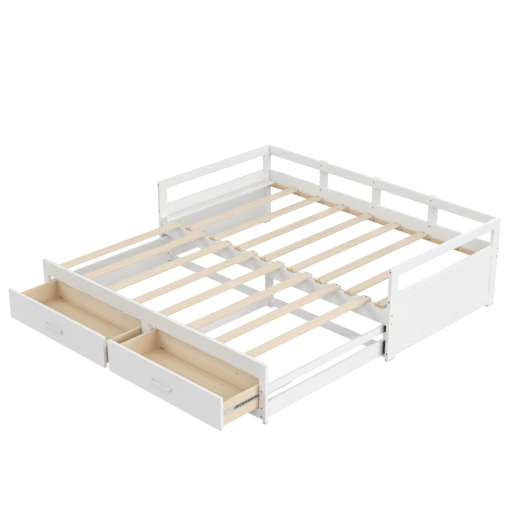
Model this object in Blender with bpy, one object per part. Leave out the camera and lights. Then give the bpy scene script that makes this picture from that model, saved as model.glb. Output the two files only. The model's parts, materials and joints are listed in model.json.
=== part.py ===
"""Extendable daybed with two storage drawers.

A fixed unit (two end panels, a back and half of the slats) stands over a pull-out unit, whose slats run
between the fixed ones. The pull-out unit's front panel holds two drawers. The bed is modelled fully
extended with both drawers pulled out. Metres, +Z up, +X to the right, +Y to the back. The origin is on
the floor, under the middle of the overall box.
"""

import math

import bmesh
import bpy
from mathutils import Vector

# ---------------------------------------------------------------- driving dimensions

# Overall size of the fixed unit
LENGTH = 1.980             # over the two end panels
END_DEPTH = 1.067          # front edge to rear edge of an end panel
END_HEIGHT = 0.589

# Fits
GAP = 0.0003               # between two pieces that touch
RUN_GAP = 0.002            # fixed front rail to the rear frame when the unit is fully out
CLOSED_GAP = 0.003         # divider's upright to the fixed front rail when the unit is pushed in
REAR_CLEAR = 0.0225        # rear frame to the slat ledger when the unit is pushed in
SIDE_CLEAR = 0.012         # pull-out unit to each end panel
UNDER_CLEAR = 0.010        # side rails under the fixed front rail
DRAWER_UNDER_CLEAR = 0.004  # drawer sides under the fixed front rail
DRAWER_STOP_GAP = 0.001    # closed drawer front to the front panel
BOX_CLEAR = 0.005          # drawer box to each side of its opening

# End panels
END_THICK = 0.022
STILE_W = 0.067
TOP_RAIL_H = 0.060
MID_RAIL_H = 0.061
BOTTOM_RAIL_H = 0.060
GUARD_GAP = 0.112          # height of the opening between the top and mid rails
END_FLOOR_GAP = 0.018      # floor to the bottom rail
INSET_T = 0.012            # thin panel in its grooves
GROOVE_D = 0.008

# Back
BACK_RAIL_T = 0.022
BACK_UPPER_H = 0.064
BACK_LOWER_H = 0.115
STRUT_T = 0.020
STRUT_W = 0.066
STRUT_SPACING = 0.470
STRUT_COUNT = 3

# Slats and what carries them
SLAT_W = 0.060
SLAT_T = 0.018
SLAT_PAIRS = 8             # slats in each unit
LAST_SLAT_GAP = 0.0437     # last fixed slat to the right end panel
DECK_Z = 0.317             # underside level of the slats
BOARD_T = 0.020            # rails, frames and side rails
FRONT_RAIL_SETBACK = 0.012
FRONT_RAIL_H = 0.095
LEDGER_T = 0.020
LEDGER_H = 0.025

# Pull-out front panel
PANEL_T = 0.022
PANEL_TOP_RISE = 0.0365    # panel top above the slats' underside
PANEL_FLOOR_GAP = 0.020    # floor to the panel's bottom rail
PANEL_FOOT_W = 0.020
OUTER_STILE_W = 0.047
CENTRE_STILE_W = 0.060
OPENING_LOW = 0.074
OPENING_H = 0.188
SLOT_DEPTH = 0.010         # groove that holds the slat tips

# Pull-out rails and rear frame
UPPER_RAIL_H = 0.047
LOWER_RAIL_LOW = 0.020
LOWER_RAIL_H = 0.095
CENTRE_RAIL_H = 0.046
REAR_POST_W = 0.036
REAR_CENTRE_POST_W = 0.056
REAR_TOP_H = 0.092
REAR_BOTTOM_H = 0.051
REAR_FLOOR_GAP = 0.020
DIVIDER_DEPTH = 0.222
DIVIDER_TOP = 0.176
CLEAT_DEPTH = 0.015        # upright behind the centre stile, part of the divider
CLEAT_TOP = 0.300

# Drawers
DRAWER_OUT = 0.2676        # how far each drawer stands open
DRAWER_FRONT_T = 0.018
FRONT_OVERLAP_X = 0.0105
FRONT_OVERLAP_Z = 0.0025
BOX_LOW_CLEAR = 0.011      # box above the opening's lower edge
BOX_DEPTH = 0.330
BOX_WALL = 0.012
BOTTOM_T = 0.005
BOTTOM_RISE = 0.010        # plywood bottom above the box's lower edge
BOTTOM_GROOVE = 0.006
BOTTOM_EDGE_R = 0.0005

# Drawer slides
SLIDE_T = 0.0127
SLIDE_SHEET = 0.0015
SLIDE_EDGE_R = 0.0005
CHANNEL_L = 0.222
CHANNEL_H = 0.040
RUNNER_H = 0.026
RUNNER_T = 0.004
RUNNER_LIP = 0.003
SLIDE_Z = 0.160

# Handles
HANDLE_L = 0.148
HANDLE_H = 0.020
HANDLE_OUT = 0.028
HANDLE_T = 0.005
HANDLE_R = 0.012
HANDLE_Z = 0.169

# Bolt sockets
SOCKET_R = 0.005
SOCKET_D = 0.009
TOP_BOLT_DROP = 0.022      # below the end panel's top edge
MID_BOLT_RISE = 0.025      # above the mid rail's lower edge
FRONT_RAIL_BOLTS = (0.018, 0.068)    # above the fixed front rail's lower edge
BACK_RAIL_BOLTS = (0.043, 0.093)     # above the lower back rail's lower edge
UPPER_BACK_BOLT_DROP = 0.026
LOWER_RAIL_BOLTS = (0.016, 0.068)    # above the lower side rail's lower edge
BARREL_INSET = 0.018       # barrel nuts before the lower side rail's rear end
RUNNER_HOLES = 5
RUNNER_HOLE_R = 0.0045

# Small shapes
EDGE_R = 0.0015            # rounding of painted and bare boards
SLAT_R = 0.0025
OVERCUT = 0.004            # how far a cutter runs past a face
PEG_SIDES = 16
ARC_STEPS = 6
EDGE_STEPS = 2
EDGE_ANGLE = 50            # degrees: a corner sharper than this is rounded
SMOOTH_ANGLE = 40          # degrees: a bend flatter than this is shaded smooth

# ---------------------------------------------------------------- levels and places

HALF = LENGTH / 2
INNER = HALF - END_THICK                 # inner face of each end panel
MID_RAIL_TOP = END_HEIGHT - TOP_RAIL_H - GUARD_GAP
MID_RAIL_LOW = MID_RAIL_TOP - MID_RAIL_H
END_BOTTOM_TOP = END_FLOOR_GAP + BOTTOM_RAIL_H
SLAT_LOW = DECK_Z + GAP
SLAT_TOP = SLAT_LOW + SLAT_T
FRONT_RAIL_LOW = DECK_Z - FRONT_RAIL_H
SIDE_RAIL_TOP = FRONT_RAIL_LOW - UNDER_CLEAR
BACK_LOWER_TOP = DECK_Z - LEDGER_H - GAP + BACK_LOWER_H
BACK_LOWER_LOW = BACK_LOWER_TOP - BACK_LOWER_H
UPPER_BACK_LOW = END_HEIGHT - BACK_UPPER_H
REAR_TOP_LOW = DECK_Z - REAR_TOP_H
REAR_BOTTOM_TOP = REAR_FLOOR_GAP + REAR_BOTTOM_H
CENTRE_RAIL_TOP = LOWER_RAIL_LOW + CENTRE_RAIL_H
CLEAT_LOW = SLIDE_Z + CHANNEL_H / 2 + RUN_GAP
OPENING_TOP = OPENING_LOW + OPENING_H
PANEL_TOP = DECK_Z + PANEL_TOP_RISE

# Along Y, measured from the front edge of the end panels
RAIL_FRONT = FRONT_RAIL_SETBACK
RAIL_BACK = RAIL_FRONT + BOARD_T
REAR_FRONT = RAIL_BACK + RUN_GAP
REAR_BACK = REAR_FRONT + BOARD_T
BACK_RAIL_FRONT = END_DEPTH - BACK_RAIL_T
LEDGER_BACK = BACK_RAIL_FRONT - GAP
LEDGER_FRONT = LEDGER_BACK - LEDGER_T
TRAVEL = LEDGER_FRONT - REAR_CLEAR - REAR_BACK
PANEL_BACK = RAIL_FRONT - CLOSED_GAP - CLEAT_DEPTH - TRAVEL
PANEL_FRONT = PANEL_BACK - PANEL_T
FRONT_BACK_FACE = PANEL_FRONT - DRAWER_STOP_GAP - DRAWER_OUT
DRAWER_FACE = FRONT_BACK_FACE - DRAWER_FRONT_T
FRONT_REACH = GAP + HANDLE_OUT - DRAWER_FACE
BACK_REACH = END_DEPTH + GAP + STRUT_T

# Along X, from the middle to the right; the left side mirrors it
PANEL_HALF = INNER - SIDE_CLEAR
OPENING_OUT = PANEL_HALF - OUTER_STILE_W
OPENING_IN = CENTRE_STILE_W / 2
BOX_OUT = OPENING_OUT - BOX_CLEAR
BOX_IN = OPENING_IN + BOX_CLEAR
SLIDE_ROOM = SLIDE_T + 2 * GAP
SIDE_RAIL_IN = BOX_OUT + SLIDE_ROOM
SIDE_RAIL_OUT = SIDE_RAIL_IN + BOARD_T
SIDE_RAIL_MID = SIDE_RAIL_IN + BOARD_T / 2
DIVIDER_HALF = BOX_IN - SLIDE_ROOM
DRAWER_MID = (OPENING_OUT + OPENING_IN) / 2
BOX_LOW = OPENING_LOW + BOX_LOW_CLEAR
BOX_TOP = FRONT_RAIL_LOW - DRAWER_UNDER_CLEAR

# Spacing of the slats
FIRST_SLAT = -INNER + GAP + SLAT_W / 2
LAST_SLAT = INNER - LAST_SLAT_GAP - SLAT_W / 2
SLAT_PITCH = (LAST_SLAT - FIRST_SLAT) / SLAT_PAIRS

# ---------------------------------------------------------------- finishes

WHITE_PAINT = {"colour": (0.84, 0.84, 0.83), "roughness": 0.42, "metallic": 0.0}
PINE = {"colour": (0.78, 0.65, 0.47), "roughness": 0.58, "metallic": 0.0}
DRAWER_WOOD = {"colour": (0.66, 0.50, 0.31), "roughness": 0.55, "metallic": 0.0}
PLYWOOD = {"colour": (0.62, 0.47, 0.30), "roughness": 0.60, "metallic": 0.0}
ZINC = {"colour": (0.46, 0.46, 0.47), "roughness": 0.35, "metallic": 1.0}
WHITE_STEEL = {"colour": (0.72, 0.72, 0.72), "roughness": 0.40, "metallic": 0.3}


def paint(obj, finish):
    """Give a piece its own Principled material."""
    mat = bpy.data.materials.new(obj.name + "_finish")
    mat.use_nodes = True
    shader = mat.node_tree.nodes["Principled BSDF"]
    shader.inputs["Base Color"].default_value = (*finish["colour"], 1.0)
    shader.inputs["Roughness"].default_value = finish["roughness"]
    shader.inputs["Metallic"].default_value = finish["metallic"]
    mat.diffuse_color = (*finish["colour"], 1.0)
    obj.data.materials.append(mat)


# ---------------------------------------------------------------- bodies

def clear_scene():
    for obj in list(bpy.data.objects):
        bpy.data.objects.remove(obj, do_unlink=True)


def axis_empty(name, place, parent=None):
    """An empty on a joint's axis; the pieces that move on the joint are its children."""
    empty = bpy.data.objects.new(name, None)
    empty.empty_display_size = 0.1
    bpy.context.scene.collection.objects.link(empty)
    body = {"empty": empty, "at": Vector(place)}
    empty.location = body["at"]
    if parent:
        empty.parent = parent["empty"]
        empty.location = body["at"] - parent["at"]
    return body


def add_object(name, mesh, centre, body):
    obj = bpy.data.objects.new(name, mesh)
    bpy.context.scene.collection.objects.link(obj)
    obj.parent = body["empty"]
    obj.location = Vector(centre) - body["at"]
    return obj


# ---------------------------------------------------------------- shapes

def add_block(mesh, low, high, centre):
    """Add a box between two corners to a bmesh that is centred on centre."""
    low, high, centre = Vector(low), Vector(high), Vector(centre)
    block = bmesh.ops.create_cube(mesh, size=1.0)["verts"]
    bmesh.ops.scale(mesh, vec=high - low, verts=block)
    bmesh.ops.translate(mesh, vec=(low + high) / 2 - centre, verts=block)


def add_peg(mesh, place, axis, radius, length, centre):
    """Add a round peg, centred on place and lying along axis, to a bmesh."""
    peg = bmesh.ops.create_cone(mesh, cap_ends=True, segments=PEG_SIDES, radius1=radius,
                                radius2=radius, depth=length)["verts"]
    turn = Vector((0, 0, 1)).rotation_difference(Vector(axis)).to_matrix()
    bmesh.ops.rotate(mesh, cent=(0, 0, 0), matrix=turn, verts=peg)
    bmesh.ops.translate(mesh, vec=Vector(place) - Vector(centre), verts=peg)


def finish_mesh(shape, name):
    mesh = bpy.data.meshes.new(name)
    shape.to_mesh(mesh)
    shape.free()
    return mesh


def cutter(name, centre, body, blocks=(), pegs=()):
    """A hidden guide made of blocks (low, high) and pegs (place, axis, radius, length)."""
    shape = bmesh.new()
    for low, high in blocks:
        add_block(shape, low, high, centre)
    for place, axis, radius, length in pegs:
        add_peg(shape, place, axis, radius, length, centre)
    obj = add_object(name, finish_mesh(shape, name), centre, body)
    obj.hide_render = True
    obj.display_type = "WIRE"
    return obj


def cut(obj, tool):
    step = obj.modifiers.new("cut_" + tool.name, "BOOLEAN")
    step.operation = "DIFFERENCE"
    step.solver = "EXACT"
    step.object = tool


def round_edges(obj, radius):
    step = obj.modifiers.new("rounded_edges", "BEVEL")
    step.width = radius
    step.segments = EDGE_STEPS
    step.limit_method = "ANGLE"
    step.angle_limit = math.radians(EDGE_ANGLE)


def board(name, low, high, finish, body, openings=(), sockets=(), grooves=(), radius=EDGE_R):
    """A board between two corners, with its openings, rounded edges, grooves and sockets."""
    centre = (Vector(low) + Vector(high)) / 2
    shape = bmesh.new()
    add_block(shape, low, high, centre)
    obj = add_object(name, finish_mesh(shape, name), centre, body)
    paint(obj, finish)
    for i, opening in enumerate(openings):
        cut(obj, cutter(f"{name}_opening_{i + 1}", centre, body, blocks=[opening]))
    round_edges(obj, radius)
    if sockets or grooves:
        cut(obj, cutter(name + "_holes", centre, body, blocks=grooves, pegs=sockets))
    return obj


def mirrored(side, near, far):
    """Low and high X of a stretch from near to far of the middle, on the side -1 or +1."""
    return (near, far) if side > 0 else (-far, -near)


def socket_x(side, y, z):
    """A blind socket in the outer face of an end panel."""
    return ((side * HALF, y, z), (1, 0, 0), SOCKET_R, 2 * SOCKET_D)


def socket_y(x, face, z):
    """A blind socket in a face that looks along Y."""
    return ((x, face, z), (0, 1, 0), SOCKET_R, 2 * SOCKET_D)


# ---------------------------------------------------------------- fixed unit

def end_panel(side_name, side, bed):
    """Two stiles, three rails and a thin panel held in grooves."""
    x_low, x_high = mirrored(side, INNER, HALF)
    x_mid = side * (HALF - END_THICK / 2)
    groove_x = (x_mid - INSET_T / 2 - GAP, x_mid + INSET_T / 2 + GAP)
    inset_low = END_BOTTOM_TOP - GROOVE_D
    inset_high = MID_RAIL_LOW + GROOVE_D
    edge_levels = (END_HEIGHT - TOP_BOLT_DROP, MID_RAIL_LOW + MID_BOLT_RISE,
                   END_FLOOR_GAP + BOTTOM_RAIL_H / 2)
    front_levels = [FRONT_RAIL_LOW + rise for rise in FRONT_RAIL_BOLTS]
    back_levels = [BACK_LOWER_LOW + rise for rise in BACK_RAIL_BOLTS]
    rear_edge = END_DEPTH - STILE_W
    rail_mid = (RAIL_FRONT + RAIL_BACK) / 2
    back_mid = (BACK_RAIL_FRONT + END_DEPTH) / 2
    stiles = (
        ("front_stile", 0.0, STILE_W, 0.0, rail_mid, front_levels, STILE_W - GROOVE_D, STILE_W + OVERCUT),
        ("rear_stile", rear_edge, END_DEPTH, END_DEPTH, back_mid, back_levels,
         rear_edge - OVERCUT, rear_edge + GROOVE_D),
    )
    for name, y_low, y_high, edge, bolt_y, levels, cut_low, cut_high in stiles:
        sockets = [socket_y(x_mid, edge, z) for z in edge_levels]
        sockets += [socket_x(side, bolt_y, z) for z in levels]
        groove = ((groove_x[0], cut_low, inset_low - GAP), (groove_x[1], cut_high, inset_high + GAP))
        board(f"{side_name}_{name}", (x_low, y_low, 0), (x_high, y_high, END_HEIGHT), WHITE_PAINT,
              bed, sockets=sockets, grooves=[groove])
    rail_low = STILE_W + GAP
    rail_high = rear_edge - GAP
    rails = (
        ("top_rail", END_HEIGHT - TOP_RAIL_H, END_HEIGHT, None),
        ("mid_rail", MID_RAIL_LOW, MID_RAIL_TOP, (MID_RAIL_LOW - OVERCUT, inset_high + GAP)),
        ("bottom_rail", END_FLOOR_GAP, END_BOTTOM_TOP, (inset_low - GAP, END_BOTTOM_TOP + OVERCUT)),
    )
    for name, z_low, z_high, groove_z in rails:
        grooves = []
        if groove_z:
            grooves = [((groove_x[0], rail_low - OVERCUT, groove_z[0]),
                        (groove_x[1], rail_high + OVERCUT, groove_z[1]))]
        board(f"{side_name}_{name}", (x_low, rail_low, z_low), (x_high, rail_high, z_high),
              WHITE_PAINT, bed, grooves=grooves)
    board(f"{side_name}_inset_panel",
          (x_mid - INSET_T / 2, STILE_W - GROOVE_D + GAP, inset_low),
          (x_mid + INSET_T / 2, rear_edge + GROOVE_D - GAP, inset_high), WHITE_PAINT, bed)


def back(bed):
    """Upper and lower rails flush with the rear edge, with short struts behind them."""
    strut_x = [(i - (STRUT_COUNT - 1) / 2) * STRUT_SPACING for i in range(STRUT_COUNT)]
    reach = INNER - GAP
    rails = (
        ("back_upper_rail", UPPER_BACK_LOW, END_HEIGHT, END_HEIGHT - UPPER_BACK_BOLT_DROP),
        ("back_lower_rail", BACK_LOWER_LOW, BACK_LOWER_TOP, BACK_LOWER_LOW + BACK_RAIL_BOLTS[1]),
    )
    for name, z_low, z_high, bolt_z in rails:
        sockets = [socket_y(x, BACK_RAIL_FRONT, bolt_z) for x in strut_x]
        board(name, (-reach, BACK_RAIL_FRONT, z_low), (reach, END_DEPTH, z_high), WHITE_PAINT, bed,
              sockets=sockets)
    for i, x in enumerate(strut_x):
        board(f"back_strut_{i + 1}", (x - STRUT_W / 2, END_DEPTH + GAP, BACK_LOWER_LOW),
              (x + STRUT_W / 2, BACK_REACH, END_HEIGHT), WHITE_PAINT, bed)


def slat(name, x, y_low, y_high, finish, body):
    board(name, (x - SLAT_W / 2, y_low, SLAT_LOW), (x + SLAT_W / 2, y_high, SLAT_TOP), finish, body,
          radius=SLAT_R)


def fixed_deck(bed):
    """The two bearers between the end panels and the slats that stay on them."""
    reach = INNER - GAP
    board("fixed_front_rail", (-reach, RAIL_FRONT, FRONT_RAIL_LOW), (reach, RAIL_BACK, DECK_Z),
          WHITE_PAINT, bed)
    board("slat_ledger", (-reach, LEDGER_FRONT, DECK_Z - LEDGER_H), (reach, LEDGER_BACK, DECK_Z),
          PINE, bed)
    slat("white_side_board", FIRST_SLAT, RAIL_FRONT, LEDGER_BACK, WHITE_PAINT, bed)
    for i in range(1, SLAT_PAIRS + 1):
        slat(f"fixed_slat_{i}", FIRST_SLAT + i * SLAT_PITCH, RAIL_FRONT, LEDGER_BACK, PINE, bed)


# ---------------------------------------------------------------- pull-out unit

def front_panel(pullout):
    """A face frame with two openings, two feet and a stopped groove for the slat tips."""
    over = OVERCUT
    openings = []
    for side in (-1, 1):
        x_low, x_high = mirrored(side, OPENING_IN, OPENING_OUT)
        openings.append(((x_low, PANEL_FRONT - over, OPENING_LOW), (x_high, PANEL_BACK + over, OPENING_TOP)))
    foot = PANEL_HALF - PANEL_FOOT_W
    openings.append(((-foot, PANEL_FRONT - over, -over), (foot, PANEL_BACK + over, PANEL_FLOOR_GAP)))
    slot_reach = PANEL_HALF - OUTER_STILE_W / 2
    slot = ((-slot_reach, PANEL_BACK - SLOT_DEPTH, DECK_Z), (slot_reach, PANEL_BACK + over, SLAT_TOP + GAP))
    levels = [SIDE_RAIL_TOP - UPPER_RAIL_H / 2] + [LOWER_RAIL_LOW + rise for rise in LOWER_RAIL_BOLTS]
    sockets = [socket_y(side * SIDE_RAIL_MID, PANEL_FRONT, z) for side in (-1, 1) for z in levels]
    board("pullout_front_panel", (-PANEL_HALF, PANEL_FRONT, 0), (PANEL_HALF, PANEL_BACK, PANEL_TOP),
          WHITE_PAINT, pullout, openings=openings, sockets=sockets, grooves=[slot])


def rear_frame(pullout):
    """A glued ladder of two rails and three posts on feet, which carries the slats' rear ends."""
    y_low, y_high = REAR_FRONT - OVERCUT, REAR_BACK + OVERCUT
    inner = PANEL_HALF - REAR_POST_W
    openings = []
    for side in (-1, 1):
        x_low, x_high = mirrored(side, REAR_CENTRE_POST_W / 2, inner)
        openings.append(((x_low, y_low, REAR_BOTTOM_TOP), (x_high, y_high, REAR_TOP_LOW)))
        openings.append(((x_low, y_low, -OVERCUT), (x_high, y_high, REAR_FLOOR_GAP)))
    board("pullout_rear_frame", (-PANEL_HALF, REAR_FRONT, 0), (PANEL_HALF, REAR_BACK, DECK_Z),
          WHITE_PAINT, pullout, openings=openings)


def pullout_rails(pullout):
    """Side rails and the centre floor rail."""
    y_low = PANEL_BACK + GAP
    y_high = REAR_FRONT - GAP
    for side_name, side in (("left", -1), ("right", 1)):
        x_low, x_high = mirrored(side, SIDE_RAIL_IN, SIDE_RAIL_OUT)
        board(f"pullout_{side_name}_upper_rail", (x_low, y_low, SIDE_RAIL_TOP - UPPER_RAIL_H),
              (x_high, y_high, SIDE_RAIL_TOP), WHITE_PAINT, pullout)
        nuts = [((side * SIDE_RAIL_IN, y_high - BARREL_INSET, LOWER_RAIL_LOW + rise), (1, 0, 0),
                 SOCKET_R, 2 * SOCKET_D) for rise in LOWER_RAIL_BOLTS]
        board(f"pullout_{side_name}_lower_rail", (x_low, y_low, LOWER_RAIL_LOW),
              (x_high, y_high, LOWER_RAIL_LOW + LOWER_RAIL_H), WHITE_PAINT, pullout, sockets=nuts)
    board("pullout_centre_rail", (-BOARD_T / 2, y_low, LOWER_RAIL_LOW),
          (BOARD_T / 2, y_high, CENTRE_RAIL_TOP), WHITE_PAINT, pullout)


def divider(pullout):
    """The board between the drawers, with a wider upright that is fixed behind the centre stile."""
    y_low = PANEL_BACK + GAP
    y_high = PANEL_BACK + DIVIDER_DEPTH
    over = OVERCUT
    cuts = [((-OPENING_IN - over, y_low + CLEAT_DEPTH, DIVIDER_TOP),
             (OPENING_IN + over, y_high + over, CLEAT_TOP + over))]
    for side in (-1, 1):
        x_low, x_high = mirrored(side, DIVIDER_HALF, OPENING_IN + over)
        cuts.append(((x_low, y_low - over, CENTRE_RAIL_TOP - over), (x_high, y_high + over, CLEAT_LOW)))
    board("drawer_divider", (-OPENING_IN, y_low, CENTRE_RAIL_TOP + GAP), (OPENING_IN, y_high, CLEAT_TOP),
          PINE, pullout, openings=cuts)


def pullout_deck(pullout):
    """Slats from the front panel's groove to the rear frame, between the fixed slats."""
    for i in range(SLAT_PAIRS):
        slat(f"pullout_slat_{i + 1}", FIRST_SLAT + (i + 0.5) * SLAT_PITCH,
             PANEL_BACK - SLOT_DEPTH + GAP, REAR_BACK, PINE, pullout)


# ---------------------------------------------------------------- drawers

def handle_outline():
    """Points on the outer and inner edge of a bow handle, from its left foot to its right foot."""
    half = HANDLE_L / 2
    inner_r = HANDLE_R - HANDLE_T
    outer = [(-half, 0.0)]
    inner = [(-half + HANDLE_T, 0.0)]
    for side in (-1, 1):
        for step in range(ARC_STEPS + 1):
            angle = math.pi / 2 * step / ARC_STEPS
            if side > 0:
                angle = math.pi / 2 - angle
            across, out = math.cos(angle), math.sin(angle)
            centre_x, centre_y = side * (half - HANDLE_R), -HANDLE_OUT + HANDLE_R
            outer.append((centre_x + side * HANDLE_R * across, centre_y - HANDLE_R * out))
            inner.append((centre_x + side * inner_r * across, centre_y - inner_r * out))
    outer.append((half, 0.0))
    inner.append((half - HANDLE_T, 0.0))
    return outer, inner


def handle(name, x, body):
    """A flat strap bent into a bow, with both feet on the drawer front."""
    outer, inner = handle_outline()
    shape = bmesh.new()
    rings = []
    for (x_out, y_out), (x_in, y_in) in zip(outer, inner):
        corners = ((x_out, y_out, -1), (x_out, y_out, 1), (x_in, y_in, 1), (x_in, y_in, -1))
        rings.append([shape.verts.new((u, v, side * HANDLE_H / 2)) for u, v, side in corners])
    for first, second in zip(rings, rings[1:]):
        for k in range(4):
            shape.faces.new((first[k], second[k], second[(k + 1) % 4], first[(k + 1) % 4]))
    shape.faces.new(rings[0])
    shape.faces.new(rings[-1][::-1])
    bmesh.ops.recalc_face_normals(shape, faces=shape.faces)
    obj = add_object(name, finish_mesh(shape, name), (x, DRAWER_FACE - GAP, HANDLE_Z), body)
    paint(obj, WHITE_PAINT)
    round_edges(obj, EDGE_R)
    obj.data.shade_smooth()
    obj.data.set_sharp_from_angle(angle=math.radians(SMOOTH_ANGLE))


def drawer(side_name, side, body):
    """Overlay front, a glued box of two sides and a back, and a plywood bottom in grooves."""
    x_low, x_high = mirrored(side, OPENING_IN - FRONT_OVERLAP_X, OPENING_OUT + FRONT_OVERLAP_X)
    bottom_low = BOX_LOW + BOTTOM_RISE
    bottom_high = bottom_low + BOTTOM_T
    box_low, box_high = mirrored(side, BOX_IN, BOX_OUT)
    panel_low = box_low + BOX_WALL - BOTTOM_GROOVE
    panel_high = box_high - BOX_WALL + BOTTOM_GROOVE
    box_front = FRONT_BACK_FACE + GAP
    box_back = FRONT_BACK_FACE + BOX_DEPTH
    panel_back = box_back - BOX_WALL + BOTTOM_GROOVE
    board(f"{side_name}_drawer_front", (x_low, DRAWER_FACE, OPENING_LOW - FRONT_OVERLAP_Z),
          (x_high, FRONT_BACK_FACE, OPENING_TOP + FRONT_OVERLAP_Z), WHITE_PAINT, body)
    inside = ((box_low + BOX_WALL, box_front - OVERCUT, BOX_LOW - OVERCUT),
              (box_high - BOX_WALL, box_back - BOX_WALL, BOX_TOP + OVERCUT))
    groove = ((panel_low - GAP, box_front - OVERCUT, bottom_low - GAP),
              (panel_high + GAP, panel_back + GAP, bottom_high + GAP))
    board(f"{side_name}_drawer_box", (box_low, box_front, BOX_LOW), (box_high, box_back, BOX_TOP),
          DRAWER_WOOD, body, openings=[inside], grooves=[groove])
    board(f"{side_name}_drawer_bottom", (panel_low, box_front, bottom_low),
          (panel_high, panel_back, bottom_high), PLYWOOD, body, radius=BOTTOM_EDGE_R)
    handle(f"{side_name}_drawer_handle", side * DRAWER_MID, body)


def slides(side_name, side, pullout, body):
    """On each side of a drawer, a channel on the pull-out unit and a runner on the drawer."""
    places = (("outer", side * BOX_OUT, side), ("inner", side * BOX_IN, -side))
    for place_name, box_face, out in places:
        runner_near = box_face + out * GAP
        runner_far = runner_near + out * RUNNER_T
        channel_near = box_face + out * GAP
        channel_far = channel_near + out * SLIDE_T
        channel(f"{side_name}_{place_name}_channel", channel_near, channel_far, out, pullout)
        runner(f"{side_name}_{place_name}_runner", runner_near, runner_far, out, body)


def channel(name, near, far, out, body):
    """A folded steel channel, open towards the drawer."""
    y_low = PANEL_BACK + GAP
    web = far - out * SLIDE_SHEET
    inner_half = CHANNEL_H / 2 - SLIDE_SHEET
    mouth = near - out * OVERCUT
    hollow = ((min(mouth, web), y_low - OVERCUT, SLIDE_Z - inner_half),
              (max(mouth, web), PANEL_BACK + CHANNEL_L + OVERCUT, SLIDE_Z + inner_half))
    board(name, (min(near, far), y_low, SLIDE_Z - CHANNEL_H / 2),
          (max(near, far), PANEL_BACK + CHANNEL_L, SLIDE_Z + CHANNEL_H / 2), WHITE_STEEL, body,
          grooves=[hollow], radius=SLIDE_EDGE_R)


def runner(name, near, far, out, body):
    """A shallow steel runner with folded lips and a row of round holes."""
    y_low = FRONT_BACK_FACE + GAP
    y_high = FRONT_BACK_FACE + BOX_DEPTH
    floor = near + out * SLIDE_SHEET
    mouth = far + out * OVERCUT
    lip_half = RUNNER_H / 2 - RUNNER_LIP
    hollow = ((min(floor, mouth), y_low - OVERCUT, SLIDE_Z - lip_half),
              (max(floor, mouth), y_high + OVERCUT, SLIDE_Z + lip_half))
    pitch = BOX_DEPTH / RUNNER_HOLES
    holes = [((near, y_low + (i + 0.5) * pitch, SLIDE_Z), (1, 0, 0), RUNNER_HOLE_R, 2 * SLIDE_T)
             for i in range(RUNNER_HOLES)]
    obj = board(name, (min(near, far), y_low, SLIDE_Z - RUNNER_H / 2),
                (max(near, far), y_high, SLIDE_Z + RUNNER_H / 2), ZINC, body,
                grooves=[hollow], radius=SLIDE_EDGE_R)
    centre = Vector(((near + far) / 2, (y_low + y_high) / 2, SLIDE_Z))
    cut(obj, cutter(name + "_screw_holes", centre, body, pegs=holes))


# ---------------------------------------------------------------- assembly

def build():
    clear_scene()
    shift = (FRONT_REACH - BACK_REACH) / 2
    bed = axis_empty("bed", (0, 0, 0))
    bed["empty"].location = (0, shift, 0)
    pullout = axis_empty("pullout_slide_axis", (0, REAR_FRONT, 0), bed)
    for side_name, side in (("left", -1), ("right", 1)):
        end_panel(side_name, side, bed)
    back(bed)
    fixed_deck(bed)
    front_panel(pullout)
    rear_frame(pullout)
    pullout_rails(pullout)
    divider(pullout)
    pullout_deck(pullout)
    for side_name, side in (("left", -1), ("right", 1)):
        body = axis_empty(f"{side_name}_drawer_slide_axis", (side * DRAWER_MID, FRONT_BACK_FACE, SLIDE_Z),
                          pullout)
        drawer(side_name, side, body)
        slides(side_name, side, pullout, body)


build()
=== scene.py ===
# %% [markdown]
# # A white daybed with a pull-out half and two drawers
# The real bed is a flat-pack piece: white painted boards, bare pine slats, clear-coated drawers and black
# bolts. The boards already have their true shapes, so the work here is their finishes and the hardware.
# The frame is loaded first, because every position below is read from it.

# %% Load the frame
import json
import math
import random

import bmesh
import bpy
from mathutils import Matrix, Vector


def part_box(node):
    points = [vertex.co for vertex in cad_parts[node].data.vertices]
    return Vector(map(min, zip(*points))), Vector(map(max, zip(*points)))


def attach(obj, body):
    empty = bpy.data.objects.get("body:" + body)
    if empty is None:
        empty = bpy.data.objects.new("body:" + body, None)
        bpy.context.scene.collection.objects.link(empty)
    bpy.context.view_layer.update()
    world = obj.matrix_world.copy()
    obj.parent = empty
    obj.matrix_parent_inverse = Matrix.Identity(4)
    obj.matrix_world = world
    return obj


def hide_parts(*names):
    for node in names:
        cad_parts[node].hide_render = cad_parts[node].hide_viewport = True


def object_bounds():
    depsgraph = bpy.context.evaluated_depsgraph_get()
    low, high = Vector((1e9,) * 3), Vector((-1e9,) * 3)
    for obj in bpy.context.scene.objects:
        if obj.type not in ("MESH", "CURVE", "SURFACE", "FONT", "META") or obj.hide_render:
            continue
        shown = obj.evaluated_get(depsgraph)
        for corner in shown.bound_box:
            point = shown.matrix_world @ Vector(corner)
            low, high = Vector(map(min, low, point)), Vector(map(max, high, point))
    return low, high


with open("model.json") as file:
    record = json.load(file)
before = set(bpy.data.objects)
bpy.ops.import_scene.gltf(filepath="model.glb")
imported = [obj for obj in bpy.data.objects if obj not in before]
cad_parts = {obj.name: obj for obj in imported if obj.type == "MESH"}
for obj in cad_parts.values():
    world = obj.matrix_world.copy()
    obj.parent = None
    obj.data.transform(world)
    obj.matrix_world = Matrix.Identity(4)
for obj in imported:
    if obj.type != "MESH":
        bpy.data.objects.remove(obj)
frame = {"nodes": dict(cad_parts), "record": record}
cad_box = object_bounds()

nodes = frame["nodes"]
print("boards and fittings:", len(nodes), "box:", cad_box)

# %% [markdown]
# A piece's place comes from the box of the board that it sits on. These two helpers turn a board's lowest
# and highest corners into a middle and a size, so that later cells can say "the middle of the ledger"
# and not a number that would go stale when the bed changes.


# %% Middles and sizes of boards
def corners(node):
    low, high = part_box(node)
    return Vector(low), Vector(high)


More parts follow.
